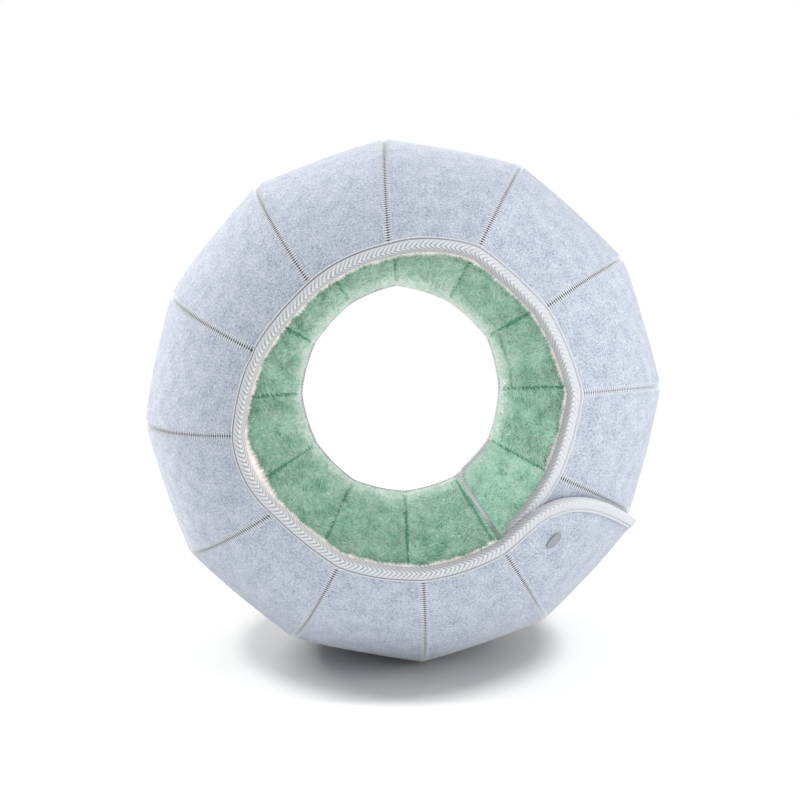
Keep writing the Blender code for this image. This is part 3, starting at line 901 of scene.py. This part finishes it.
# The diagonals are nearly worn smooth along the flap's free edge and on the outer half to the
# right. The painted shade in the topstitch's furrow is darkest at the upper left and faintest to
# the right, where the light falls. Down the left part the first column of twill is wider.
free_edge = (edge.facets < 0) & (abs(edge.places) < 0.93)
worn = smooth_along(np.where(free_edge, 0.3, 1.0), 12)
to_right = np.clip(1.8 * np.cos(turn - 0.1) - 0.5, 0, 1)
outer_half = np.clip((9.5 - width_run) / 2.0, 0, 1)
faint = to_right[at_step] * (0.35 + 0.4 * outer_half[at_section])
put_tone(tape_mesh, worn[at_step] * (1 - faint))
tight = 1.1 - 0.75 * to_right + 0.5 * bell(turn - 2.1, 0.5)
put_tone(tape_mesh, tight[at_step], "tight")
to_left = np.clip(-1.4 * np.cos(turn + 0.15), 0, 1)
put_tone(tape_mesh, (COLUMN[1] + LEFT_COLUMN_GROWS * to_left[at_step]) * MM, "column")
builder = bmesh.new()
builder.from_mesh(tape_mesh)
bmesh.ops.remove_doubles(builder, verts=builder.verts[:], dist=1e-6)
bmesh.ops.recalc_face_normals(builder, faces=builder.faces[:])
builder.to_mesh(tape_mesh)
builder.free()
binding = new_piece("herringbone_binding", tape_mesh, herringbone_tape())
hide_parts("binding_tape")

# Each stitch of the topstitch is one short bead of thread that lies along the tape.
builder = bmesh.new()
bmesh.ops.create_uvsphere(builder, u_segments=6, v_segments=5, radius=1.0)
bead, bead_faces = template(builder)
line = edge.at(stitched * wide, -far * 0.9)
beside = edge.at(stitched * wide - 0.5, -far * 0.9)
stitch_at = np.arange(0, edge.length - TOPSTITCH_PITCH, TOPSTITCH_PITCH)


def along_edge(points, at):
    """Places at given lengths on a line that has one point for each step of the edge."""
    return np.stack([np.interp(at, edge.run, points[:, i]) for i in range(3)], 1)


centre = along_edge(line, stitch_at)
ahead = unit(along_edge(line, stitch_at + 0.5) - centre)
side = along_edge(beside, stitch_at) - centre
side = unit(side - ahead * (side * ahead).sum(1, keepdims=True))
up = np.cross(ahead, side)
points = (
    centre[:, None]
    + ahead[:, None] * bead[None, :, :1] * 0.85
    + side[:, None] * bead[None, :, 1:2] * 0.36
    + up[:, None] * bead[None, :, 2:] * 0.26
)
topstitch = new_piece("binding_topstitch", repeated("topstitch", points, bead_faces), thread)

# --------------------------------------
# Snap. An oval moulded plastic cap, riveted through the flap, with a low dome and a rolled rim.
# Its socket lies hidden on the flap's other side.

SNAP_LONG, SNAP_SHORT = 14.8, 8.4
SNAP_SHARE, SNAP_ACROSS = 0.541, -0.841
SNAP_PROFILE = (  # (share of the half width, height) from the hidden skirt up to the middle
    (0.90, -1.6), (0.96, -0.2), (1.0, 0.2), (0.99, 0.75), (0.94, 1.1), (0.88, 1.18),
    (0.82, 1.02), (0.74, 0.98), (0.60, 1.05), (0.40, 1.15), (0.20, 1.2), (0.0, 1.22),
)
SNAP_STEPS = 64


def moulded_snap():
    """Moulded acetal snap cap: smooth satin grey plastic with a faint grain."""
    surface, add, shader = new_material("moulded_acetal_cap")
    places = add("TexCoord").outputs["Object"]
    # A real mould's grain is about 0.1 mm; this one is drawn at 1.2 mm so that it shows.
    grain = add("TexNoise", Vector=places, Scale=1 / 0.0012, Detail=2.0)
    colour = add("ValToRGB", Fac=grain, stops=[(0.3, "#8f939b"), (0.7, "#999da5")])
    feed(shader, Base_Color=colour, Roughness=0.42, IOR=1.48)
    return surface


builder = bmesh.new()
profile = [builder.verts.new((width, 0, height)) for width, height in SNAP_PROFILE]
profile_edges = [builder.edges.new(pair) for pair in zip(profile, profile[1:])]
bmesh.ops.spin(
    builder, geom=profile + profile_edges, cent=(0, 0, 0), axis=(0, 0, 1), angle=2 * math.pi,
    steps=SNAP_STEPS, use_merge=True,
)
bmesh.ops.remove_doubles(builder, verts=builder.verts[:], dist=1e-4)
bottom = [edge for edge in builder.edges if edge.is_boundary]
bmesh.ops.holes_fill(builder, edges=bottom, sides=0)
bmesh.ops.recalc_face_normals(builder, faces=builder.faces[:])
cap_mesh = built(builder, "cap")
at = read_points(cap_mesh)
here, along, aside, inward = wall_frame(-1, np.array([SNAP_SHARE]), np.array([SNAP_ACROSS]), 0.0)
put_points(
    cap_mesh,
    here + along * at[:, :1] * SNAP_LONG / 2 + aside * at[:, 1:2] * SNAP_SHORT / 2
    - inward * (at[:, 2:] + GAP),
)
cap = new_piece("snap_cap_moulded", cap_mesh, moulded_snap())
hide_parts("snap_cap")

# --------------------------------------
# Studio. A white floor that runs out of sight and a bright white surround. Soft lamps stand at
# the right, high on the right and overhead, a strong warm one behind on the left, and the
# camera a little above the cave's middle.

FLOOR_SIZE_M = 2.6
CAMERA_AT_M = (-0.0098, -0.7608, 0.2684)
CAMERA_TILT, CAMERA_TURN = 86.54, -0.48
FOCAL_OF_WIDTH = 850 / 800  # focal length as a share of the frame's width
SENSOR = 36.0

builder = bmesh.new()
bmesh.ops.create_grid(builder, x_segments=1, y_segments=1, size=FLOOR_SIZE_M / 2)
floor_mesh = built(builder, "floor")
# The floor is paler to look at than as a light, so that it does not flood the felt from below.
floor_paint, add, shader = new_material("matte_white_floor")
whiteness = add("MapRange", i0=add("LightPath"), i3=0.5, i4=0.62)
feed(shader, Base_Color=whiteness, Roughness=0.9, Specular_IOR_Level=0.1)
floor_mesh.materials.append(floor_paint)
floor = new_object("floor", floor_mesh)

# The surround is white to look at and dimmer as a light, so that the lamps shape the cave.
world = bpy.data.worlds.new("white_surround")
world.use_nodes = True
add = partial(add_node, world.node_tree)
brightness = add("MapRange", i0=add("LightPath"), i3=0.68, i4=1.0)
background = world.node_tree.nodes["Background"]
feed(background, Color=(1, 1, 1, 1), Strength=brightness)
bpy.context.scene.world = world


def add_lamp(name, kind, place, target, power, onto=None, **settings):
    """A lamp aimed at a point; flags keep it off everything but the pieces it shines onto.

    Power is in watts, or for a sun in watts per square metre.
    """
    light = bpy.data.lights.new(name, kind)
    light.energy = power
    for key, value in settings.items():
        setattr(light, key, value)
    lamp = new_object(name, light)
    lamp.location = place
    way = [there - here for there, here in zip(target, place)]
    turn = math.atan2(way[0], -way[1]) + math.pi
    lamp.rotation_euler = (math.atan2(math.hypot(way[0], way[1]), -way[2]), 0, turn)
    if onto:
        lamp.light_linking.receiver_collection = bpy.data.collections.new(f"lit_by_{name}")
        for piece in onto:
            lamp.light_linking.receiver_collection.objects.link(piece)


MIDDLE = (0, 0, CENTRE_HEIGHT * MM)
FRONT_OPENING = (0.005, -RIM_FROM_MIDDLE * MM, (CENTRE_HEIGHT + 3.5) * MM)
add_lamp("right", "AREA", (1.5, -0.8, 0.8), MIDDLE, 12.3, size=0.8, color=(1, 0.985, 0.965))
add_lamp("high_right", "AREA", (1.0, -0.6, 1.7), MIDDLE, 6.5, size=0.8)
add_lamp("left", "AREA", (-1.38, 0.5, 1.2), MIDDLE, 27, size=0.6, color=(1, 0.98, 0.94))
add_lamp("overhead", "AREA", (0.1, 0.0, 2.3), MIDDLE, 3.5, size=1.4)
# Snooted lamps beside the camera shine in at the front opening, each onto one cloth: the plush,
# its pile over the rim and the tape behind that. A lamp behind the cave and a weak one inside
# it keep the plush soft all round.
BESIDE_CAMERA = (CAMERA_AT_M[0], CAMERA_AT_M[1] - 0.01, CAMERA_AT_M[2])
BACK_OPENING = (0, RIM_FROM_MIDDLE * MM, CENTRE_HEIGHT * MM)
all_plush = list(lining_pieces.values()) + pile_pieces
for name, place, target, power, onto, cone, soft in (
    ("onto_plush", BESIDE_CAMERA, FRONT_OPENING, 13, all_plush, 25, 0.02),
    ("onto_rim_pile", BESIDE_CAMERA, FRONT_OPENING, 5, rim_pieces, 25, 0.006),
    ("onto_inner_tape", BESIDE_CAMERA, FRONT_OPENING, 17, [binding], 18.5, 0.006),
    ("onto_plush_behind", (0.0, 0.75, 0.45), BACK_OPENING, 15, all_plush, 32, 0.05),
):
    add_lamp(
        name, "SPOT", place, target, power, onto,
        spot_size=math.radians(cone), spot_blend=0.2, shadow_soft_size=soft,
    )
add_lamp("inside", "POINT", MIDDLE, FRONT_OPENING, 0.4, all_plush, shadow_soft_size=0.08)
# Two broad suns whiten the floor, so that only what lies under the cave is dark.
SUN_WIDTH = math.radians(12)
add_lamp("floor_left", "SUN", (-0.8, -0.45, 1.9), (0, 0, 0), 1.6, [floor], angle=SUN_WIDTH)
add_lamp("floor_right", "SUN", (1.0, -0.45, 1.9), (0, 0, 0), 2.6, [floor], angle=SUN_WIDTH)

camera_data = bpy.data.cameras.new("camera")
camera_data.sensor_width = SENSOR
camera_data.lens = SENSOR * FOCAL_OF_WIDTH
camera_data.clip_start = 0.01
camera = new_object("camera", camera_data)
camera.location = CAMERA_AT_M
camera.rotation_euler = (math.radians(CAMERA_TILT), 0, math.radians(CAMERA_TURN))
bpy.context.scene.camera = camera
bpy.context.scene.view_settings.view_transform = "Standard"
